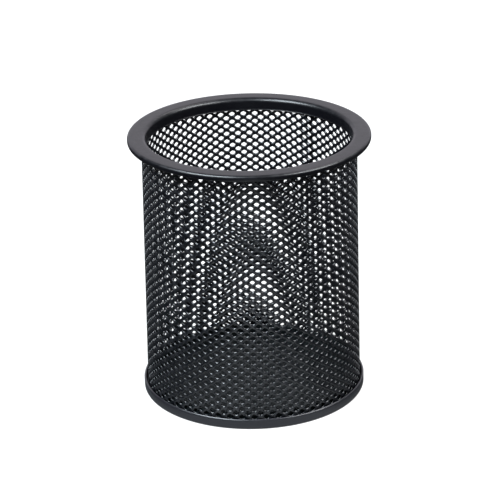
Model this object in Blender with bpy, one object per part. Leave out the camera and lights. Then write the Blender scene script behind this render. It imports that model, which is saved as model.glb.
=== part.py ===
"""Round mesh pen cup: a rim ring, a mesh sleeve, a base hoop and a base pan.

Metres, +Z up. The origin is the centre of the face that the cup stands on.
Every piece is turned round the Z axis from an outline of (radius, height) points.
"""

import math

import bmesh
import bpy

MM = 0.001

# Driving dimensions
CUP_HEIGHT = 100.0 * MM
RIM_RADIUS = 44.5 * MM
HOOP_RADIUS = 41.5 * MM
SLEEVE_HEAD_RADIUS = 39.5 * MM
SLEEVE_FOOT_RADIUS = 40.3 * MM
SLEEVE_THICKNESS = 0.9 * MM
SHEET = 0.7 * MM
GAP = 0.3 * MM

# Rim ring
LIP_DEPTH = 2.4 * MM
HEM_WIDTH = 1.9 * MM
COLLAR_DEPTH = 4.8 * MM
RIM_BEND = 1.0 * MM
COLLAR_BEND = 1.6 * MM

# Base hoop
HOOP_HEIGHT = 4.0 * MM
HOOP_EDGE = 0.45 * MM
FOOT_THICKNESS = 0.8 * MM
FOOT_WIDTH = 4.6 * MM
FOOT_BEND = 0.8 * MM

# Base pan
PAN_EDGE_HEIGHT = 5.6 * MM
PAN_BEND = 1.0 * MM

# Roundness
FACETS = 72
BEND_STEPS = 3
SHARP_ANGLE = math.radians(40.0)

# Linear colour and roughness of each piece's black coat
COATS = {
    "rim_ring": ((0.022, 0.022, 0.024, 1.0), 0.34),
    "mesh_wall": ((0.012, 0.012, 0.013, 1.0), 0.40),
    "base_ring": ((0.016, 0.016, 0.018, 1.0), 0.36),
    "base_plate": ((0.018, 0.019, 0.021, 1.0), 0.42),
}


def clear_scene():
    """Remove every object, so that the script can be run again in an open file."""
    for existing in list(bpy.data.objects):
        bpy.data.objects.remove(existing, do_unlink=True)


def coat(name):
    """The painted-steel material of one piece."""
    colour, roughness = COATS[name]
    material = bpy.data.materials.new(name + "_coat")
    material.use_nodes = True
    shader = material.node_tree.nodes["Principled BSDF"]
    shader.inputs["Base Color"].default_value = colour
    shader.inputs["Metallic"].default_value = 0.0
    shader.inputs["Roughness"].default_value = roughness
    return material


def arc(centre_r, centre_z, radius, start, end, steps=BEND_STEPS):
    """Points along an arc in the (radius, height) plane, both ends included, angles in degrees."""
    points = []
    for step in range(steps + 1):
        angle = math.radians(start + (end - start) * step / steps)
        points.append((centre_r + radius * math.cos(angle), centre_z + radius * math.sin(angle)))
    return points


def spokes(shell, outline):
    """One row of vertices for each facet: the outline turned to that facet's angle."""
    rows = []
    for facet in range(FACETS):
        angle = 2.0 * math.pi * facet / FACETS
        rows.append([shell.verts.new((r * math.cos(angle), r * math.sin(angle), z)) for r, z in outline])
    return rows


def turned_ring(name, outline):
    """A ring whose section is the closed outline."""
    shell = bmesh.new()
    rows = spokes(shell, outline)
    for facet in range(FACETS):
        here = rows[facet]
        beyond = rows[(facet + 1) % FACETS]
        for corner in range(len(outline)):
            following = (corner + 1) % len(outline)
            shell.faces.new((here[corner], here[following], beyond[following], beyond[corner]))
    return placed(name, shell)


def turned_disc(name, outline):
    """A solid across the axis: the open outline's two ends are joined to the middle at their own heights."""
    shell = bmesh.new()
    first_middle = shell.verts.new((0.0, 0.0, outline[0][1]))
    last_middle = shell.verts.new((0.0, 0.0, outline[-1][1]))
    rows = spokes(shell, outline)
    for facet in range(FACETS):
        here = rows[facet]
        beyond = rows[(facet + 1) % FACETS]
        shell.faces.new((first_middle, here[0], beyond[0]))
        for corner in range(len(outline) - 1):
            shell.faces.new((here[corner], here[corner + 1], beyond[corner + 1], beyond[corner]))
        shell.faces.new((last_middle, beyond[-1], here[-1]))
    return placed(name, shell)


def placed(name, shell):
    """Turn a finished shell into a named, coated, smooth-shaded object."""
    bmesh.ops.recalc_face_normals(shell, faces=shell.faces)
    mesh = bpy.data.meshes.new(name)
    shell.to_mesh(mesh)
    shell.free()
    mesh.shade_smooth()
    mesh.set_sharp_from_angle(angle=SHARP_ANGLE)
    piece = bpy.data.objects.new(name, mesh)
    piece.data.materials.append(coat(name))
    bpy.context.scene.collection.objects.link(piece)
    return piece


def make_rim_ring():
    """Upright collar, flat flange, turned-down lip, and the hem that runs back in under the lip."""
    collar_out = SLEEVE_HEAD_RADIUS - SLEEVE_THICKNESS - GAP
    collar_in = collar_out - SHEET
    collar_foot = CUP_HEIGHT - COLLAR_DEPTH
    flange_under = CUP_HEIGHT - SHEET
    lip_foot = CUP_HEIGHT - LIP_DEPTH
    lip_in = RIM_RADIUS - SHEET
    hem_top = lip_foot + SHEET
    hem_end = RIM_RADIUS - HEM_WIDTH
    tight = RIM_BEND - SHEET
    collar_tight = COLLAR_BEND - SHEET
    outline = [(collar_in, collar_foot)]
    outline += arc(collar_in + COLLAR_BEND, CUP_HEIGHT - COLLAR_BEND, COLLAR_BEND, 180.0, 90.0)
    outline += arc(RIM_RADIUS - RIM_BEND, CUP_HEIGHT - RIM_BEND, RIM_BEND, 90.0, 0.0)
    outline += arc(RIM_RADIUS - RIM_BEND, lip_foot + RIM_BEND, RIM_BEND, 0.0, -90.0)
    outline += [(hem_end, lip_foot), (hem_end, hem_top)]
    outline += arc(lip_in - tight, hem_top + tight, tight, -90.0, 0.0, 1)
    outline += arc(lip_in - tight, flange_under - tight, tight, 0.0, 90.0, 1)
    outline += arc(collar_out + collar_tight, flange_under - collar_tight, collar_tight, 90.0, 180.0)
    outline += [(collar_out, collar_foot)]
    return turned_ring("rim_ring", outline)


def make_mesh_wall():
    """The sleeve's outer shape as a plain tube, open at both ends and slightly wider at its foot.

    Its head stops where the collar starts to bend out into the flange.
    """
    foot = FOOT_THICKNESS + GAP
    head = CUP_HEIGHT - COLLAR_BEND
    outline = [
        (SLEEVE_FOOT_RADIUS - SLEEVE_THICKNESS, foot),
        (SLEEVE_HEAD_RADIUS - SLEEVE_THICKNESS, head),
        (SLEEVE_HEAD_RADIUS, head),
        (SLEEVE_FOOT_RADIUS, foot),
    ]
    return turned_ring("mesh_wall", outline)


def make_base_ring():
    """Hoop with a round top edge and a flat foot turned in under the sleeve."""
    band_in = SLEEVE_FOOT_RADIUS + GAP
    foot_in = HOOP_RADIUS - FOOT_WIDTH
    outline = [(foot_in, 0.0), (foot_in, FOOT_THICKNESS), (band_in, FOOT_THICKNESS)]
    outline += arc(HOOP_RADIUS - HOOP_EDGE, HOOP_HEIGHT - HOOP_EDGE, HOOP_EDGE, 180.0, 0.0, 2 * BEND_STEPS)
    outline += arc(HOOP_RADIUS - FOOT_BEND, FOOT_BEND, FOOT_BEND, 0.0, -90.0)
    return turned_ring("base_ring", outline)


def make_base_plate():
    """Closed floor with an upturned edge that stands inside the sleeve."""
    underside = FOOT_THICKNESS + GAP
    floor = underside + SHEET
    edge_out = SLEEVE_FOOT_RADIUS - SLEEVE_THICKNESS - GAP
    edge_in = edge_out - SHEET
    tight = PAN_BEND - SHEET
    outline = arc(edge_in - tight, floor + tight, tight, -90.0, 0.0, 2)
    outline += [(edge_in, PAN_EDGE_HEIGHT), (edge_out, PAN_EDGE_HEIGHT)]
    outline += arc(edge_out - PAN_BEND, underside + PAN_BEND, PAN_BEND, 0.0, -90.0)
    return turned_disc("base_plate", outline)


def main():
    clear_scene()
    make_rim_ring()
    make_mesh_wall()
    make_base_ring()
    make_base_plate()


main()
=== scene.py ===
"""Looks of the mesh pen cup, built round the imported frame.

The sleeve is one lapped sheet of expanded steel, made flat cell by cell and then rolled round the cup.
The rim, the hoop and the floor pan are turned from fine outlines. All of it wears a satin black coat.
"""

import math

import bmesh
import bpy
from mathutils import Matrix, Vector


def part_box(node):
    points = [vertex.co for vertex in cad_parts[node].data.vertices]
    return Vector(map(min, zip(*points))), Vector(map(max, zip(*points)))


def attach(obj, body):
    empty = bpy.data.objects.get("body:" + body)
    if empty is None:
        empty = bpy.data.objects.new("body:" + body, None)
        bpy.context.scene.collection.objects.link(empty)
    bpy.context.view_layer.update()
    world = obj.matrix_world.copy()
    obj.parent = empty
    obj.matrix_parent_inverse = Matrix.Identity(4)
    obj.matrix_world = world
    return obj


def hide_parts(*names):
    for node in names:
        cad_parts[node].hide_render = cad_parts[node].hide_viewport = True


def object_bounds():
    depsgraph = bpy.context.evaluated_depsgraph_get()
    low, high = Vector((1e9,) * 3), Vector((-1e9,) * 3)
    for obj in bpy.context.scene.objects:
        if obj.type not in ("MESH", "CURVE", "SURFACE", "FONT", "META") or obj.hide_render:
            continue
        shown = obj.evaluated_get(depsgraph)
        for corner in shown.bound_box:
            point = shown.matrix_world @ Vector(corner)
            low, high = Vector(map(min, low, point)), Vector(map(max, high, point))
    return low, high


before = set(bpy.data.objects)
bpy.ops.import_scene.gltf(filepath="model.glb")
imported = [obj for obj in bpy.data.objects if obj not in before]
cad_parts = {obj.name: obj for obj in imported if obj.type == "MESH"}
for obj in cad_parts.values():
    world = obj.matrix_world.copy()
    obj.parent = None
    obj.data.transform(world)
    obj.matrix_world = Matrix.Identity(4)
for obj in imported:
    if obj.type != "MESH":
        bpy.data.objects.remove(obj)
CAD_LOW, CAD_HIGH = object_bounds()
MM = 0.001

# Heights and radii that the frame gives
RIM_LOW, RIM_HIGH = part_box("rim_ring")
SLEEVE_LOW, SLEEVE_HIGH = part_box("mesh_wall")
HOOP_LOW, HOOP_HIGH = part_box("base_ring")
PAN_LOW, PAN_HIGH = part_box("base_plate")

# Pressed sheet
SHEET = 0.7 * MM
COLLAR_CLEARANCE = 0.3 * MM
BEND_STEPS = 8
TURN_STEPS = 192
SHARP_ANGLE = math.radians(50.0)

# Rim ring
LIP_DEPTH = 2.4 * MM
HEM_WIDTH = 1.9 * MM
RIM_BEND = 1.0 * MM
COLLAR_BEND = 1.6 * MM
COLLAR_BEAD = 0.18 * MM
NOSE_END = -140.0
BEAD_START = -120.0
BEAD_END = -240.0
FLANGE_STEPS = 4

# Base hoop and pan
HOOP_EDGE = 0.45 * MM
FOOT_THICKNESS = 0.8 * MM
FOOT_WIDTH = 4.6 * MM
FOOT_BEND = 0.8 * MM
HOOP_FILLET = 0.15 * MM
PAN_BEND = 1.0 * MM
PAN_STEPS = 6

# Expanded sheet
SLEEVE_DEPTH = 0.9 * MM
SLEEVE_TAPER = 0.8 * MM
CELLS_ROUND = 56
HALF_ROWS = 61
SHEET_LIFT = 0.06 * MM
CELL_HEIGHT = 3.135 * MM
OPENING_WIDTH = 2.35 * MM
OPENING_HEIGHT = 1.68 * MM
OPENING_SQUARENESS = 1.5
OPENING_CORNERS = 8
BAND_SEGMENTS = 3
BOND_SHARPNESS = 6.0
CORE_THICKNESS = 0.6 * MM
EDGE_SHARE = 0.6
TWIST = 0.07 * MM
WAVES_PER_CELL = 2.0
MERGE_DISTANCE = 0.02 * MM

# Lap where the sheet's two ends meet. Ease and clearance are counted in cells.
SEAM_ANGLE = math.radians(54.35)
LAP_CELLS = 1
LAP_STEP = 0.33 * MM
LAP_EASE = 2.0
LAP_CLEARANCE = 0.5
LAP_FLATTENING = 0.75

# Weld spots down the lap. They are set one to every so many half rows.
WELD_EVERY = 8
WELD_SIZE = (0.75 * MM, 0.65 * MM, 0.16 * MM)
WELD_SEAT = 0.38
WELD_SEGMENTS = 18
WELD_RINGS = 9


# ---------------------------------------------------------------- node trees

class Wiring:
    """Adds nodes to a tree. A value wired into a socket may be a plain value or another node's output."""

    def __init__(self, tree):
        self.tree = tree

    def wire(self, value, socket):
        if isinstance(value, bpy.types.NodeSocket):
            self.tree.links.new(value, socket)
        else:
            socket.default_value = value

    def add(self, kind, wires=None, **settings):
        node = self.tree.nodes.new(kind)
        for setting, value in settings.items():
            setattr(node, setting, value)
        for name, value in (wires or {}).items():
            self.wire(value, node.inputs[name])
        return node

    def maths(self, operation, *values):
        node = self.add("ShaderNodeMath", operation=operation)
        for socket, value in zip(node.inputs, values):
            self.wire(value, socket)
        return node.outputs[0]

    def vector(self, x, y, z):
        return self.add("ShaderNodeCombineXYZ", {"X": x, "Y": y, "Z": z}).outputs[0]

    def split(self, vector):
        node = self.add("ShaderNodeSeparateXYZ", {"Vector": vector})
        return node.outputs[0], node.outputs[1], node.outputs[2]

    def ramp(self, value, start, end, low=0.0, high=1.0):
        """low before start, high after end, and a soft climb between them."""
        wires = {"Value": value, "From Min": start, "From Max": end, "To Min": low, "To Max": high}
        return self.add("ShaderNodeMapRange", wires, interpolation_type="SMOOTHSTEP").outputs[0]

    def blend(self, share, first, second):
        """first where share is 0 and second where it is 1."""
        span = self.maths("SUBTRACT", second, first)
        return self.maths("MULTIPLY_ADD", span, share, first)


def new_tree(name, kind, inputs, outputs):
    """An empty node group with named sockets, and its wiring, input sockets and output node."""
    tree = bpy.data.node_groups.new(name, kind)
    for label, socket_type, value in inputs:
        socket = tree.interface.new_socket(label, in_out="INPUT", socket_type=socket_type)
        if value is not None:
            socket.default_value = value
    for label, socket_type in outputs:
        tree.interface.new_socket(label, in_out="OUTPUT", socket_type=socket_type)
    wiring = Wiring(tree)
    entry = tree.nodes.new("NodeGroupInput")
    leave = tree.nodes.new("NodeGroupOutput")
    sockets = {socket.name: socket for socket in entry.outputs if socket.name}
    return tree, wiring, sockets, leave


# ---------------------------------------------------------------- black coat

CLOUD_SCALE = 45.0
SPECK_SCALE = 420.0
PATCH_SCALE = 260.0
LEVEL_FROM = 0.55
GLOSS_SPREAD = 0.16
DUST_DULLING = 0.3
RUBBED_SMOOTHING = 0.12


def coat_relief_group():
    """Orange peel and fine grain of a sprayed coat, as a height from 0 to 1."""
    tree, w, given, leave = new_tree(
        "coat_relief",
        "ShaderNodeTree",
        [("Peel Scale", "NodeSocketFloat", 700.0), ("Grain Scale", "NodeSocketFloat", 2600.0),
         ("Grain Share", "NodeSocketFloat", 0.35)],
        [("Height", "NodeSocketFloat")],
    )
    place = w.add("ShaderNodeTexCoord").outputs["Object"]
    peel = w.add("ShaderNodeTexNoise", {"Vector": place, "Scale": given["Peel Scale"], "Detail": 2.0})
    grain = w.add("ShaderNodeTexNoise", {"Vector": place, "Scale": given["Grain Scale"], "Detail": 1.0})
    height = w.blend(given["Grain Share"], peel.outputs["Fac"], grain.outputs["Fac"])
    w.wire(height, leave.inputs["Height"])
    return tree


def coat_tone_group():
    """Uneven depth of colour and gloss over the coat, with a little settled dust on level faces."""
    tree, w, given, leave = new_tree(
        "coat_tone",
        "ShaderNodeTree",
        [("Coat", "NodeSocketColor", None), ("Dust", "NodeSocketColor", None),
         ("Roughness", "NodeSocketFloat", 0.35), ("Dust Share", "NodeSocketFloat", 0.1),
         ("Unevenness", "NodeSocketFloat", 0.2)],
        [("Color", "NodeSocketColor"), ("Roughness", "NodeSocketFloat")],
    )
    place = w.add("ShaderNodeTexCoord").outputs["Object"]
    cloud = w.add("ShaderNodeTexNoise", {"Vector": place, "Scale": CLOUD_SCALE, "Detail": 4.0}).outputs["Fac"]
    speck = w.add("ShaderNodeTexNoise", {"Vector": place, "Scale": SPECK_SCALE, "Detail": 3.0}).outputs["Fac"]
    up = w.split(w.add("ShaderNodeNewGeometry").outputs["Normal"])[2]
    dusty = w.maths("MULTIPLY", w.ramp(up, LEVEL_FROM, 1.0), w.ramp(speck, 0.42, 0.75))
    settled = w.maths("MULTIPLY", dusty, given["Dust Share"])
    depth = w.maths("MULTIPLY_ADD", w.maths("SUBTRACT", cloud, 0.5), given["Unevenness"], 1.0)
    deep = w.add("ShaderNodeVectorMath", {0: given["Coat"]}, operation="SCALE")
    w.wire(depth, deep.inputs["Scale"])
    colour = w.add("ShaderNodeMix", data_type="RGBA")
    w.wire(settled, colour.inputs[0])
    w.wire(deep.outputs[0], colour.inputs[6])
    w.wire(given["Dust"], colour.inputs[7])
    gloss = w.maths("MULTIPLY_ADD", w.maths("SUBTRACT", speck, 0.5), GLOSS_SPREAD, given["Roughness"])
    dulled = w.maths("MULTIPLY_ADD", settled, DUST_DULLING, gloss)
    w.wire(colour.outputs[2], leave.inputs["Color"])
    w.wire(dulled, leave.inputs["Roughness"])
    return tree


def edge_wear_group():
    """Where the coat is rubbed thin: broken patches along the edges that the wear attribute marks."""
    tree, w, given, leave = new_tree(
        "edge_wear",
        "ShaderNodeTree",
        [("Color", "NodeSocketColor", None), ("Rubbed", "NodeSocketColor", None),
         ("Roughness", "NodeSocketFloat", 0.35), ("Amount", "NodeSocketFloat", 0.5)],
        [("Color", "NodeSocketColor"), ("Roughness", "NodeSocketFloat")],
    )
    place = w.add("ShaderNodeTexCoord").outputs["Object"]
    edge = w.add("ShaderNodeAttribute", attribute_name="wear").outputs["Fac"]
    patch = w.add("ShaderNodeTexNoise", {"Vector": place, "Scale": PATCH_SCALE, "Detail": 5.0}).outputs["Fac"]
    rubbed = w.maths("MULTIPLY", w.maths("MULTIPLY", edge, w.ramp(patch, 0.38, 0.68)), given["Amount"])
    colour = w.add("ShaderNodeMix", data_type="RGBA")
    w.wire(rubbed, colour.inputs[0])
    w.wire(given["Color"], colour.inputs[6])
    w.wire(given["Rubbed"], colour.inputs[7])
    smoother = w.maths("MULTIPLY_ADD", rubbed, -RUBBED_SMOOTHING, given["Roughness"])
    w.wire(colour.outputs[2], leave.inputs["Color"])
    w.wire(smoother, leave.inputs["Roughness"])
    return tree


RELIEF = coat_relief_group()
TONE = coat_tone_group()
WEAR = edge_wear_group()
DUST = (0.20, 0.195, 0.185, 1.0)
RUBBED = (0.075, 0.075, 0.08, 1.0)


def black_coat(name, colour, roughness, dust, peel, wear, shine):
    """Satin black paint with orange peel, uneven depth, a trace of dust, and edges rubbed a little thin."""
    material = bpy.data.materials.new(name)
    material.use_nodes = True
    w = Wiring(material.node_tree)
    shader = material.node_tree.nodes["Principled BSDF"]
    tone = w.add("ShaderNodeGroup", node_tree=TONE)
    w.wire((*colour, 1.0), tone.inputs["Coat"])
    w.wire(DUST, tone.inputs["Dust"])
    w.wire(roughness, tone.inputs["Roughness"])
    w.wire(dust, tone.inputs["Dust Share"])
    worn = w.add("ShaderNodeGroup", node_tree=WEAR)
    w.wire(tone.outputs["Color"], worn.inputs["Color"])
    w.wire(tone.outputs["Roughness"], worn.inputs["Roughness"])
    w.wire(RUBBED, worn.inputs["Rubbed"])
    w.wire(wear, worn.inputs["Amount"])
    relief = w.add("ShaderNodeGroup", node_tree=RELIEF)
    bump = w.add("ShaderNodeBump", {"Height": relief.outputs["Height"], "Distance": peel, "Strength": 1.0})
    w.wire(worn.outputs["Color"], shader.inputs["Base Color"])
    w.wire(worn.outputs["Roughness"], shader.inputs["Roughness"])
    w.wire(bump.outputs["Normal"], shader.inputs["Normal"])
    shader.inputs["Metallic"].default_value = 0.0
    shader.inputs["Specular IOR Level"].default_value = shine
    shader.inputs["IOR"].default_value = 1.5
    return material


# ---------------------------------------------------------------- expanded sleeve

def signed_power(w, value, exponent):
    """The value's size raised to a power, with the value's own sign."""
    size = w.maths("POWER", w.maths("ABSOLUTE", value), exponent)
    return w.maths("MULTIPLY", size, w.maths("SIGN", value))


def opening_cell(w, given, cell_width):
    """One opening and its share of the strands: front ridge, both edges of the opening, and back ridge.

    The ridges lie on the cell's diamond outline, so that neighbouring cells meet point to point.
    """
    band = w.add(
        "GeometryNodeMeshCylinder",
        {"Vertices": OPENING_CORNERS, "Side Segments": BAND_SEGMENTS, "Radius": 1.0, "Depth": 2.0},
        fill_type="NONE",
    )
    x, y, layer = w.split(w.add("GeometryNodeInputPosition").outputs[0])
    tip = w.maths("MAXIMUM", w.maths("ABSOLUTE", x), w.maths("ABSOLUTE", y))
    bond = w.maths("POWER", tip, BOND_SHARPNESS)
    rubbed = w.maths("MULTIPLY", w.maths("MAXIMUM", layer, 0.0), bond)
    marked = w.add(
        "GeometryNodeStoreNamedAttribute",
        {"Geometry": band.outputs["Mesh"], "Name": "wear", "Value": rubbed},
        data_type="FLOAT",
        domain="POINT",
    )
    ridge = w.maths("GREATER_THAN", w.maths("ABSOLUTE", layer), 0.5)
    exponent = w.maths("DIVIDE", 2.0, given["Opening Squareness"])
    places = []
    for unit, cell, opening in (
        (x, cell_width, given["Opening Width"]),
        (y, given["Cell Height"], given["Opening Height"]),
    ):
        corner = w.maths("DIVIDE", w.maths("ARCSINE", unit), math.pi)
        outline = w.maths("MULTIPLY", corner, cell)
        rounded = w.maths("MULTIPLY", signed_power(w, unit, exponent), w.maths("MULTIPLY", opening, 0.5))
        places.append(w.blend(ridge, rounded, outline))
    face = w.maths("MULTIPLY", w.maths("SIGN", layer), w.maths("MULTIPLY", given["Core Thickness"], 0.5))
    depth = w.maths("MULTIPLY", face, w.blend(ridge, given["Edge Share"], 1.0))
    shaped = w.add(
        "GeometryNodeSetPosition",
        {"Geometry": marked.outputs[0], "Position": w.vector(places[0], places[1], depth)},
    )
    return w.add("GeometryNodeFlipFaces", {"Mesh": shaped.outputs[0]}).outputs[0]


def welded(w, geometry):
    """The geometry with its touching points made one."""
    return w.add("GeometryNodeMergeByDistance", {"Geometry": geometry, "Distance": MERGE_DISTANCE}).outputs[0]


def staggered_cells(w, given, cell, cell_width):
    """Rows of cells, every second row half a cell along, welded into one sheet."""
    columns = w.maths("ADD", given["Cells Round"], given["Lap Cells"])
    index = w.add("GeometryNodeInputIndex").outputs[0]
    row = w.maths("FLOOR", w.maths("DIVIDE", w.maths("ADD", index, 0.5), columns))
    column = w.maths("SUBTRACT", index, w.maths("MULTIPLY", row, columns))
    stagger = w.maths("MULTIPLY", w.maths("MODULO", row, 2.0), 0.5)
    along = w.maths("MULTIPLY", w.maths("ADD", column, stagger), cell_width)
    up = w.maths("MULTIPLY", row, w.maths("MULTIPLY", given["Cell Height"], 0.5))
    points = w.add(
        "GeometryNodePoints",
        {"Count": w.maths("MULTIPLY", columns, given["Half Rows"]), "Position": w.vector(along, up, 0.0)},
    )
    cells = w.add("GeometryNodeInstanceOnPoints", {"Points": points.outputs[0], "Instance": cell})
    sheet = w.add("GeometryNodeRealizeInstances", {"Geometry": cells.outputs[0]})
    return welded(w, sheet.outputs[0])


def closed_edges(w, given, sheet):
    """Close the sheet's cut edges with a wall from the front ridge to the back ridge."""
    neighbours = w.add("GeometryNodeInputMeshEdgeNeighbors").outputs[0]
    depth = w.split(w.add("GeometryNodeInputPosition").outputs[0])[2]
    lone = w.maths("LESS_THAN", neighbours, 1.5)
    front = w.maths("GREATER_THAN", depth, 0.0)
    drop = w.maths("MULTIPLY", given["Core Thickness"], -1.0)
    walls = w.add(
        "GeometryNodeExtrudeMesh",
        {"Mesh": sheet, "Selection": w.maths("MULTIPLY", lone, front), "Offset": w.vector(0.0, 0.0, drop)},
        mode="EDGES",
    )
    w.wire(1.0, walls.inputs["Offset Scale"])
    return welded(w, walls.outputs[0])


def weld_spots(w, given, cell_width):
    """Low round buttons on the joints down the middle of the lap, where the two ends are spot welded."""
    index = w.add("GeometryNodeInputIndex").outputs[0]
    half_cell = w.maths("MULTIPLY", given["Cell Height"], 0.5)
    first = given["Weld Every"]
    count = w.maths("FLOOR", w.maths("DIVIDE", w.maths("SUBTRACT", given["Half Rows"], 1.0), first))
    half_rows_up = w.maths("MULTIPLY_ADD", index, first, w.maths("MULTIPLY", first, 0.5))
    up = w.maths("MULTIPLY", half_rows_up, half_cell)
    along = w.maths("MULTIPLY", w.maths("ADD", given["Cells Round"], 0.5), cell_width)
    depth = w.maths("MULTIPLY", given["Core Thickness"], WELD_SEAT)
    points = w.add("GeometryNodePoints", {"Count": count, "Position": w.vector(along, up, depth)})
    button = w.add(
        "GeometryNodeMeshUVSphere",
        {"Segments": WELD_SEGMENTS, "Rings": WELD_RINGS, "Radius": 1.0},
    )
    flat = w.add("GeometryNodeTransform", {"Geometry": button.outputs[0], "Scale": WELD_SIZE})
    spots = w.add("GeometryNodeInstanceOnPoints", {"Points": points.outputs[0], "Instance": flat.outputs[0]})
    return w.add("GeometryNodeRealizeInstances", {"Geometry": spots.outputs[0]}).outputs[0]


def rolled(w, given, flat, cell_width):
    """Roll the flat sheet into the sleeve.

    Its strands are twisted a little, and its two ends are stepped apart and flattened at the lap.
    """
    along, up, depth = w.split(w.add("GeometryNodeInputPosition").outputs[0])
    column = w.maths("DIVIDE", along, cell_width)
    lap = given["Lap Cells"]
    far_end = given["Cells Round"]
    start = w.ramp(column, lap, w.maths("ADD", lap, LAP_EASE), 1.0, 0.0)
    end_from = w.maths("SUBTRACT", far_end, LAP_EASE + LAP_CLEARANCE)
    end = w.ramp(column, end_from, w.maths("SUBTRACT", far_end, LAP_CLEARANCE))
    pressed = w.maths("MAXIMUM", start, end)
    twist = w.maths("MULTIPLY", given["Twist"], w.maths("MULTIPLY_ADD", pressed, -LAP_FLATTENING, 1.0))
    rows_up = w.maths("DIVIDE", up, given["Cell Height"])
    wave = w.maths("SINE", w.maths("MULTIPLY", rows_up, 2.0 * math.pi * WAVES_PER_CELL))
    lifted = w.maths("MULTIPLY_ADD", w.maths("MULTIPLY", wave, twist), -1.0, depth)
    stepped = w.maths("MULTIPLY_ADD", w.maths("SUBTRACT", end, start), given["Lap Step"], lifted)
    half_cell = w.maths("MULTIPLY", given["Cell Height"], 0.5)
    height = w.maths("ADD", w.maths("ADD", up, half_cell), given["Foot Height"])
    whole = w.maths("MULTIPLY", w.maths("ADD", given["Half Rows"], 1.0), half_cell)
    share = w.maths("DIVIDE", w.maths("ADD", up, half_cell), whole)
    middle = w.blend(share, given["Foot Radius"], given["Head Radius"])
    radius = w.maths("ADD", middle, stepped)
    turn = w.maths("DIVIDE", 2.0 * math.pi, far_end)
    angle = w.maths("MULTIPLY_ADD", column, turn, given["Seam Angle"])
    place = w.vector(
        w.maths("MULTIPLY", radius, w.maths("COSINE", angle)),
        w.maths("MULTIPLY", radius, w.maths("SINE", angle)),
        height,
    )
    return w.add("GeometryNodeSetPosition", {"Geometry": flat, "Position": place}).outputs[0]


def sleeve_tree():
    """Expanded steel sheet, lapped and rolled. Radii are those of the middle of the sheet's depth."""
    tree, w, given, leave = new_tree(
        "expanded_sleeve",
        "GeometryNodeTree",
        [
            ("Cells Round", "NodeSocketInt", None),
            ("Lap Cells", "NodeSocketInt", None),
            ("Half Rows", "NodeSocketInt", None),
            ("Weld Every", "NodeSocketInt", None),
            ("Cell Height", "NodeSocketFloat", None),
            ("Opening Width", "NodeSocketFloat", None),
            ("Opening Height", "NodeSocketFloat", None),
            ("Opening Squareness", "NodeSocketFloat", None),
            ("Core Thickness", "NodeSocketFloat", None),
            ("Edge Share", "NodeSocketFloat", None),
            ("Twist", "NodeSocketFloat", None),
            ("Lap Step", "NodeSocketFloat", None),
            ("Foot Height", "NodeSocketFloat", None),
            ("Foot Radius", "NodeSocketFloat", None),
            ("Head Radius", "NodeSocketFloat", None),
            ("Seam Angle", "NodeSocketFloat", None),
            ("Coat", "NodeSocketMaterial", None),
        ],
        [("Geometry", "NodeSocketGeometry")],
    )
    mean = w.maths("MULTIPLY", w.maths("ADD", given["Foot Radius"], given["Head Radius"]), math.pi)
    cell_width = w.maths("DIVIDE", mean, given["Cells Round"])
    cell = opening_cell(w, given, cell_width)
    sheet = closed_edges(w, given, staggered_cells(w, given, cell, cell_width))
    both = w.add("GeometryNodeJoinGeometry")
    w.wire(weld_spots(w, given, cell_width), both.inputs[0])
    w.wire(sheet, both.inputs[0])
    sleeve = rolled(w, given, both.outputs[0], cell_width)
    smooth = w.add("GeometryNodeSetShadeSmooth", {"Geometry": sleeve})
    solid = w.add("GeometryNodeRealizeInstances", {"Geometry": smooth.outputs[0]})
    coated = w.add("GeometryNodeSetMaterial", {"Geometry": solid.outputs[0], "Material": given["Coat"]})
    w.wire(coated.outputs[0], leave.inputs["Geometry"])
    return tree


def grown(name, tree, values):
    """A plain mesh object made by a geometry tree with these named inputs."""
    seed = bpy.data.objects.new(name + "_seed", bpy.data.meshes.new(name + "_seed"))
    bpy.context.scene.collection.objects.link(seed)
    growth = seed.modifiers.new("growth", "NODES")
    growth.node_group = tree
    for socket in tree.interface.items_tree:
        if socket.in_out == "INPUT":
            growth[socket.identifier] = values[socket.name]
    graph = bpy.context.evaluated_depsgraph_get()
    mesh = bpy.data.meshes.new_from_object(seed.evaluated_get(graph), depsgraph=graph)
    mesh.name = name
    seed.modifiers.remove(growth)
    bpy.data.objects.remove(seed)
    piece = bpy.data.objects.new(name, mesh)
    bpy.context.scene.collection.objects.link(piece)
    return piece


def make_sleeve(coat):
    foot_radius = SLEEVE_HIGH.x - SLEEVE_DEPTH / 2
    foot_height = SLEEVE_LOW.z + SHEET_LIFT
    return grown("mesh_sleeve", sleeve_tree(), {
        "Cells Round": CELLS_ROUND,
        "Lap Cells": LAP_CELLS,
        "Half Rows": HALF_ROWS,
        "Weld Every": WELD_EVERY,
        "Cell Height": CELL_HEIGHT,
        "Opening Width": OPENING_WIDTH,
        "Opening Height": OPENING_HEIGHT,
        "Opening Squareness": OPENING_SQUARENESS,
        "Core Thickness": CORE_THICKNESS,
        "Edge Share": EDGE_SHARE,
        "Twist": TWIST,
        "Lap Step": LAP_STEP,
        "Foot Height": foot_height,
        "Foot Radius": foot_radius,
        "Head Radius": foot_radius - SLEEVE_TAPER,
        "Seam Angle": SEAM_ANGLE,
        "Coat": coat,
    })


# ---------------------------------------------------------------- turned pieces

def arc(centre_r, centre_z, radius, start, end, wear=0.0):
    """Points (radius, height, wear) along a bend, both ends included.

    Angles are in degrees: 0 points outwards and 90 points up. The wear is strongest in the middle of
    the bend and fades to nothing at its ends.
    """
    points = []
    for step in range(BEND_STEPS + 1):
        share = step / BEND_STEPS
        angle = math.radians(start + (end - start) * share)
        mark = wear * math.sin(math.pi * share)
        points.append((centre_r + radius * math.cos(angle), centre_z + radius * math.sin(angle), mark))
    return points


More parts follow.
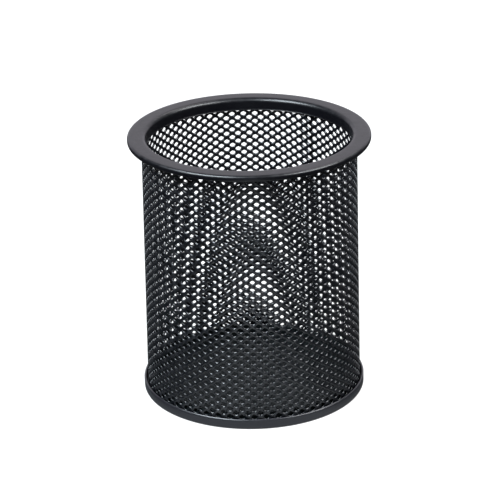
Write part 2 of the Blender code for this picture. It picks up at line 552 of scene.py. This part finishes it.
def straight(start, end, steps):
    """Unworn points between two corners, without the corners themselves."""
    points = []
    for step in range(1, steps):
        share = step / steps
        r = start[0] + (end[0] - start[0]) * share
        z = start[1] + (end[1] - start[1]) * share
        points.append((r, z, 0.0))
    return points


def turned(name, outline, coat, closed=True):
    """Turn an outline of (radius, height, wear) points round the Z axis into one closed skin.

    An outline that isn't closed ends in two middles on the axis.
    """
    skin = bmesh.new()
    wear = skin.verts.layers.float.new("wear")
    rows = []
    for step in range(TURN_STEPS):
        angle = 2.0 * math.pi * step / TURN_STEPS
        row = []
        for r, z, mark in outline:
            point = skin.verts.new((r * math.cos(angle), r * math.sin(angle), z))
            point[wear] = mark
            row.append(point)
        rows.append(row)
    spans = len(outline) if closed else len(outline) - 1
    middles = [] if closed else [skin.verts.new((0.0, 0.0, outline[end][1])) for end in (0, -1)]
    for step in range(TURN_STEPS):
        here = rows[step]
        beyond = rows[(step + 1) % TURN_STEPS]
        for corner in range(spans):
            following = (corner + 1) % len(outline)
            skin.faces.new((here[corner], here[following], beyond[following], beyond[corner]))
        if middles:
            skin.faces.new((middles[0], here[0], beyond[0]))
            skin.faces.new((middles[1], beyond[-1], here[-1]))
    bmesh.ops.recalc_face_normals(skin, faces=skin.faces)
    mesh = bpy.data.meshes.new(name)
    skin.to_mesh(mesh)
    skin.free()
    mesh.shade_smooth()
    mesh.set_sharp_from_angle(angle=SHARP_ANGLE)
    mesh.materials.append(coat)
    piece = bpy.data.objects.new(name, mesh)
    bpy.context.scene.collection.objects.link(piece)
    return piece


def make_rim(coat):
    """Collar with a fine bead at its foot, inner bend, flat flange, turned-down lip and turned-in hem."""
    top = RIM_HIGH.z
    outer = RIM_HIGH.x
    collar_out = SLEEVE_HIGH.x - SLEEVE_TAPER - SLEEVE_DEPTH - COLLAR_CLEARANCE
    collar_in = collar_out - SHEET
    collar_foot = RIM_LOW.z
    lip_foot = top - LIP_DEPTH
    hem_top = lip_foot + SHEET
    hem_end = outer - HEM_WIDTH
    tight = RIM_BEND - SHEET
    collar_tight = COLLAR_BEND - SHEET
    nose = SHEET / 2
    bead_middle = collar_foot + 2 * COLLAR_BEAD
    outline = arc(collar_in + nose, collar_foot + nose, nose, -90.0, NOSE_END)
    outline += arc(collar_in + COLLAR_BEAD / 2, bead_middle, COLLAR_BEAD, BEAD_START, BEAD_END, wear=0.4)
    outline += arc(collar_in + COLLAR_BEND, top - COLLAR_BEND, COLLAR_BEND, 180.0, 90.0, wear=0.7)
    outline += straight((collar_in + COLLAR_BEND, top), (outer - RIM_BEND, top), FLANGE_STEPS)
    outline += arc(outer - RIM_BEND, top - RIM_BEND, RIM_BEND, 90.0, 0.0, wear=1.0)
    outline += arc(outer - RIM_BEND, lip_foot + RIM_BEND, RIM_BEND, 0.0, -90.0, wear=0.8)
    outline += arc(hem_end + nose, lip_foot + nose, nose, -90.0, -270.0)
    outline += arc(outer - RIM_BEND, hem_top + tight, tight, -90.0, 0.0)
    outline += arc(outer - RIM_BEND, top - RIM_BEND, tight, 0.0, 90.0)
    outline += arc(collar_out + collar_tight, top - COLLAR_BEND, collar_tight, 90.0, 180.0)
    outline += arc(collar_out - nose, collar_foot + nose, nose, 0.0, -90.0)[:-1]
    return turned("rim", outline, coat)


def make_hoop(coat):
    """Hoop with a round top edge and a flat foot turned in under the sleeve."""
    outer = HOOP_HIGH.x
    top = HOOP_HIGH.z
    foot = HOOP_LOW.z
    foot_in = outer - FOOT_WIDTH
    band_in = outer - 2 * HOOP_EDGE
    nose = FOOT_THICKNESS / 2
    fillet_height = foot + FOOT_THICKNESS + HOOP_FILLET
    outline = arc(foot_in + nose, foot + nose, nose, -90.0, -270.0)
    outline += arc(band_in - HOOP_FILLET, fillet_height, HOOP_FILLET, -90.0, 0.0)
    outline += arc(outer - HOOP_EDGE, top - HOOP_EDGE, HOOP_EDGE, 180.0, 0.0, wear=0.9)
    outline += arc(outer - FOOT_BEND, foot + FOOT_BEND, FOOT_BEND, 0.0, -90.0, wear=1.0)
    return turned("base_hoop", outline, coat)


def make_floor_pan(coat):
    """Closed floor with an upturned edge that stands inside the sleeve."""
    underside = PAN_LOW.z
    floor = underside + SHEET
    outer = PAN_HIGH.x
    inner = outer - SHEET
    tight = PAN_BEND - SHEET
    nose = SHEET / 2
    outline = straight((0.0, floor), (inner - tight, floor), PAN_STEPS)
    outline += arc(inner - tight, floor + tight, tight, -90.0, 0.0)
    outline += arc(outer - nose, PAN_HIGH.z - nose, nose, 180.0, 0.0, wear=0.8)
    outline += arc(outer - PAN_BEND, underside + PAN_BEND, PAN_BEND, 0.0, -90.0)
    outline += straight((outer - PAN_BEND, underside), (0.0, underside), PAN_STEPS)
    return turned("floor_pan", outline, coat, closed=False)


# ---------------------------------------------------------------- studio

FLOOR_REACH = 6.0
# Painted pool of light on the floor, seen only in reflections: pale in a strip through the cup, with painted
# shade beside it.
FLOOR_PAINTED_LIGHT_STRIP = 0.23
FLOOR_PAINTED_SHADE_BESIDE = 0.015
PAINTED_LIGHT_HALF_WIDTH = 0.026
FLOOR_PAPER_SEEN = 0.12
FLOOR_GLOW = 0.01
FLOOR_GLOW_SEEN = 0.9
ROOM_SEEN = 1.15
ROOM_DIM = 0.03
ROOM_BACKDROP = 1.15
SKY = (0.95, 0.92, 1.0, 1.0)


def seen_or_reflected(w, seen, reflected):
    """One value where the camera looks straight at a surface and another in reflections."""
    looked_at = w.add("ShaderNodeLightPath").outputs["Is Camera Ray"]
    return w.blend(looked_at, reflected, seen)


def make_floor():
    """Plain pale floor, lit evenly from inside like a light table, so that shadows stay faint.

    In reflections only a strip of it through the cup is pale, a painted pool of light, and the paper beside
    the strip is painted dark as shade.
    """
    mesh = bpy.data.meshes.new("studio_floor")
    reach = FLOOR_REACH
    corners = [(-reach, -reach, 0.0), (reach, -reach, 0.0), (reach, reach, 0.0), (-reach, reach, 0.0)]
    mesh.from_pydata(corners, [], [(0, 1, 2, 3)])
    floor = bpy.data.objects.new("studio_floor", mesh)
    bpy.context.scene.collection.objects.link(floor)
    paper = bpy.data.materials.new("pale_paper")
    paper.use_nodes = True
    w = Wiring(paper.node_tree)
    shader = paper.node_tree.nodes["Principled BSDF"]
    across = w.split(w.add("ShaderNodeTexCoord").outputs["Object"])[0]
    # Painted light in reflections: the strip through the cup is pale, and beside it the floor is painted dark
    # as shade.
    painted_shade_beside = w.ramp(w.maths("ABSOLUTE", across), PAINTED_LIGHT_HALF_WIDTH, 2 * PAINTED_LIGHT_HALF_WIDTH)
    shade = seen_or_reflected(w, FLOOR_PAPER_SEEN, w.blend(painted_shade_beside, FLOOR_PAINTED_LIGHT_STRIP, FLOOR_PAINTED_SHADE_BESIDE))
    grey = w.add("ShaderNodeCombineColor", {0: shade, 1: shade, 2: shade})
    w.wire(grey.outputs[0], shader.inputs["Base Color"])
    shader.inputs["Roughness"].default_value = 1.0
    shader.inputs["Specular IOR Level"].default_value = 0.0
    shader.inputs["Emission Color"].default_value = (1.0, 1.0, 1.0, 1.0)
    w.wire(seen_or_reflected(w, FLOOR_GLOW_SEEN, FLOOR_GLOW), shader.inputs["Emission Strength"])
    mesh.materials.append(paper)


def softbox(name, azimuth, elevation, distance, width, height, power, colour):
    """Area light aimed at the cup's middle.

    Angles are in degrees. Azimuth 0 is the camera's side, and 90 is to its right.
    """
    light = bpy.data.lights.new(name, "AREA")
    light.shape = "RECTANGLE"
    light.size = width
    light.size_y = height
    light.energy = power
    light.color = colour
    lamp = bpy.data.objects.new(name, light)
    a = math.radians(azimuth)
    e = math.radians(elevation)
    away = Vector((math.sin(a) * math.cos(e), -math.cos(a) * math.cos(e), math.sin(e)))
    lamp.location = Vector((0.0, 0.0, (CAD_LOW.z + CAD_HIGH.z) / 2)) + away * distance
    lamp.rotation_euler = away.to_track_quat("Z", "Y").to_euler()
    bpy.context.scene.collection.objects.link(lamp)


def make_room():
    """White surroundings to look at. In reflections the wall behind the cup is bright and the rest is dim."""
    world = bpy.data.worlds.new("studio_room")
    world.use_nodes = True
    w = Wiring(world.node_tree)
    sky = world.node_tree.nodes["Background"]
    across, behind, up = w.split(w.add("ShaderNodeTexCoord").outputs["Generated"])
    backdrop = w.maths("MULTIPLY", w.ramp(behind, 0.45, 0.8), w.ramp(up, 0.6, 0.85, 1.0, 0.0))
    reflected = w.blend(backdrop, ROOM_DIM, ROOM_BACKDROP)
    w.wire(seen_or_reflected(w, ROOM_SEEN, reflected), sky.inputs["Strength"])
    sky.inputs["Color"].default_value = SKY
    bpy.context.scene.world = world


def make_lights():
    """A broad key high at the front left, a weaker fill at the right, and a faint one at the back right."""
    softbox(
        "key_softbox", azimuth=-52.0, elevation=50.0, distance=1.2,
        width=0.8, height=0.5, power=56.0, colour=(0.84, 0.93, 1.0),
    )
    softbox(
        "fill_softbox", azimuth=68.0, elevation=45.0, distance=1.2,
        width=0.9, height=0.45, power=32.0, colour=(0.94, 0.97, 1.0),
    )
    softbox(
        "rim_softbox", azimuth=140.0, elevation=55.0, distance=1.3,
        width=0.5, height=0.5, power=5.0, colour=(1.0, 1.0, 1.0),
    )


CAMERA_DISTANCE = 0.9
CAMERA_ELEVATION = math.radians(22.82)
CAMERA_ROLL = math.radians(1.22)
CAMERA_LENS = 174.5
SENSOR_WIDTH = 36.0
NEAREST_SEEN = 0.01
FARTHEST_SEEN = 50.0
AIM = Vector((-0.547 * MM, 0.0, 53.62 * MM))


def make_camera():
    """Long lens from a little above, with a slight lean."""
    forward = Vector((0.0, math.cos(CAMERA_ELEVATION), -math.sin(CAMERA_ELEVATION)))
    camera = bpy.data.cameras.new("camera")
    camera.lens = CAMERA_LENS
    camera.sensor_width = SENSOR_WIDTH
    camera.clip_start = NEAREST_SEEN
    camera.clip_end = FARTHEST_SEEN
    stand = bpy.data.objects.new("camera", camera)
    upright = (-forward).to_track_quat("Z", "Y").to_matrix().to_4x4()
    place = Matrix.Translation(AIM - forward * CAMERA_DISTANCE)
    lean = Matrix.Rotation(-CAMERA_ROLL, 4, "Z")
    stand.matrix_world = place @ upright @ lean
    bpy.context.scene.collection.objects.link(stand)
    bpy.context.scene.camera = stand


# ---------------------------------------------------------------- assembly

def fit(piece, node):
    """The piece rides on the cup's one body and stands for a CAD node."""
    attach(piece, "root")
    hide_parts(node)


def main():
    """Coats, the four pieces, then the stage, lights and camera."""
    rim_coat = black_coat(
        "rim_black", (0.0012, 0.0012, 0.002), roughness=0.34,
        dust=0.01, peel=0.02 * MM, wear=0.1, shine=0.28,
    )
    mesh_coat = black_coat(
        "mesh_black", (0.0016, 0.002, 0.003), roughness=0.24,
        dust=0.01, peel=0.01 * MM, wear=0.2, shine=0.5,
    )
    hoop_coat = black_coat(
        "hoop_black", (0.003, 0.003, 0.005), roughness=0.32,
        dust=0.02, peel=0.02 * MM, wear=0.15, shine=0.5,
    )
    pan_coat = black_coat(
        "pan_black", (0.004, 0.006, 0.007), roughness=0.50,
        dust=0.02, peel=0.03 * MM, wear=0.1, shine=0.15,
    )
    fit(make_rim(rim_coat), "rim_ring")
    fit(make_sleeve(mesh_coat), "mesh_wall")
    fit(make_hoop(hoop_coat), "base_ring")
    fit(make_floor_pan(pan_coat), "base_plate")
    make_floor()
    make_room()
    make_lights()
    make_camera()
    bpy.context.scene.view_settings.view_transform = "Standard"


main()
